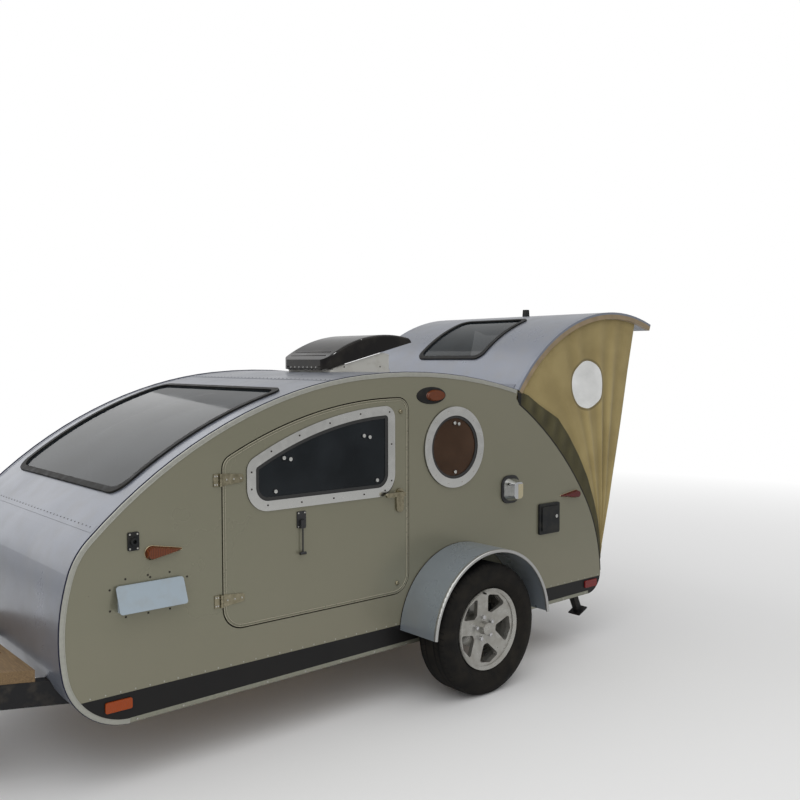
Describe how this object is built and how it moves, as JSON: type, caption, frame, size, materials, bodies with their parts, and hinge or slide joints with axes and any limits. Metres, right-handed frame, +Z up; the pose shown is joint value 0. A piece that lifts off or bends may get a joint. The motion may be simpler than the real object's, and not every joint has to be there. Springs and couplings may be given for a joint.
{
  "type": "teardrop camping trailer",
  "caption": "Small teardrop camping trailer with side doors, portholes, a windshield, a roof vent, a raised galley hatch with canvas sides and a tongue jack.",
  "frame": {"origin": "middle of the trailer's box on the ground, on its centre line", "axes": "+X forward to the coupler, +Y to the left, +Z up"},
  "size_m": [5.0377, 2.0006, 2.0481],
  "materials": {
    "wall_paint": "satin champagne grey",
    "skin_paint": "silver blue grey",
    "frame_black": "black chassis paint",
    "fender_paint": "silver grey",
    "polished": "polished",
    "zinc": "zinc plated",
    "rubber_black": "matt",
    "tyre_rubber": "matt",
    "rim_silver": "silver lacquer",
    "dark_glass": "tinted",
    "brown_glass": "bronze tinted",
    "amber_lens": "amber",
    "red_lens": "red",
    "clear_lens": "clear, slightly yellow",
    "lamp_chrome": "bright",
    "black_plastic": "moulded",
    "smoke_plastic": "smoked",
    "white_plastic": "moulded",
    "timber": "weathered boards",
    "birch_ply": "clear lacquer",
    "rim_tan": "tan edge strip",
    "canvas": "khaki canvas",
    "ticking": "mattress cover"
  },
  "bodies": {
    "trailer": {"amber_lamps": "amber_lens", "axle": "frame_black", "bulkhead": "birch_ply", "chassis_crossmembers": "frame_black", "chassis_rails": "frame_black", "coupler": "zinc", "door_catches": "black_plastic", "door_hinge_leaves": "polished", "fenders": "fender_paint", "floor_deck": "birch_ply", "front_panel": "skin_paint", "galley_cabinet": "birch_ply", "hatch_curtains": "canvas", "hatch_hinge": "polished", "inlet_boxes": "black_plastic", "jack_tube": "frame_black", "mattress": "ticking", "nose_panel": "skin_paint", "porch_lenses": "clear_lens", "porch_lights": "lamp_chrome", "porthole_panes": "brown_glass", "porthole_rings": "polished", "rear_panel": "skin_paint", "red_lamps": "red_lens", "roof_panel": "skin_paint", "side_walls": "wall_paint", "stabiliser_brackets": "frame_black", "tongue_deck": "timber", "tongue_rails": "frame_black", "vent_base": "white_plastic", "vent_hoods": "white_plastic", "windshield_gasket": "rubber_black", "windshield_glass": "dark_glass"},
    "wheel_left": {"tyre_left": "tyre_rubber", "rim_left": "rim_silver"},
    "wheel_right": {"tyre_right": "tyre_rubber", "rim_right": "rim_silver"},
    "door_left": {"door_left": "wall_paint", "door_window_trim_left": "polished", "door_glass_left": "dark_glass", "door_hardware_left": "polished"},
    "door_right": {"door_right": "wall_paint", "door_window_trim_right": "polished", "door_glass_right": "dark_glass", "door_hardware_right": "polished"},
    "hatch": {"hatch_shell": "skin_paint", "hatch_pod": "black_plastic", "hatch_rims": "rim_tan", "skylight_gasket": "rubber_black", "skylight_glass": "dark_glass", "hatch_hinge_leaf": "polished"},
    "vent_lid": {"vent_lid": "smoke_plastic"},
    "jack_leg": {"jack_leg": "zinc"},
    "stabiliser_left": {"stabiliser_leg_left": "frame_black"},
    "stabiliser_right": {"stabiliser_leg_right": "frame_black"}
  },
  "joints": [
    {"name": "wheel_left_spin", "type": "hinge", "parent": "trailer", "child": "wheel_left", "pos_m": [-0.81112, 0.866, 0.337], "axis": [0, 1, 0], "continuous": true},
    {"name": "wheel_right_spin", "type": "hinge", "parent": "trailer", "child": "wheel_right", "pos_m": [-0.81112, -0.866, 0.337], "axis": [0, 1, 0], "continuous": true},
    {"name": "door_left_swing", "type": "hinge", "parent": "trailer", "child": "door_left", "pos_m": [0.60288, 0.739, 0.944], "axis": [0, 0, -1], "range_deg": [0, 160]},
    {"name": "door_right_swing", "type": "hinge", "parent": "trailer", "child": "door_right", "pos_m": [0.60288, -0.739, 0.944], "axis": [0, 0, 1], "range_deg": [0, 160]},
    {"name": "hatch_lift", "type": "hinge", "parent": "trailer", "child": "hatch", "pos_m": [-1.2625, 0, 1.54187], "axis": [0, 1, 0], "range_deg": [-70, 0], "deforming": ["hatch_curtains"]},
    {"name": "vent_lid_tilt", "type": "hinge", "parent": "trailer", "child": "vent_lid", "pos_m": [-0.34612, 0, 1.6668], "axis": [0, 1, 0], "range_deg": [-14, 0]},
    {"name": "jack_extend", "type": "slide", "parent": "trailer", "child": "jack_leg", "axis": [0, 0, 1], "range_m": [0, 0.2]},
    {"name": "stabiliser_left_swing", "type": "hinge", "parent": "trailer", "child": "stabiliser_left", "pos_m": [-1.85112, 0.64, 0.306], "axis": [0, -1, 0], "range_deg": [0, 113]},
    {"name": "stabiliser_right_swing", "type": "hinge", "parent": "trailer", "child": "stabiliser_right", "pos_m": [-1.85112, -0.64, 0.306], "axis": [0, -1, 0], "range_deg": [0, 113]}
  ]
}
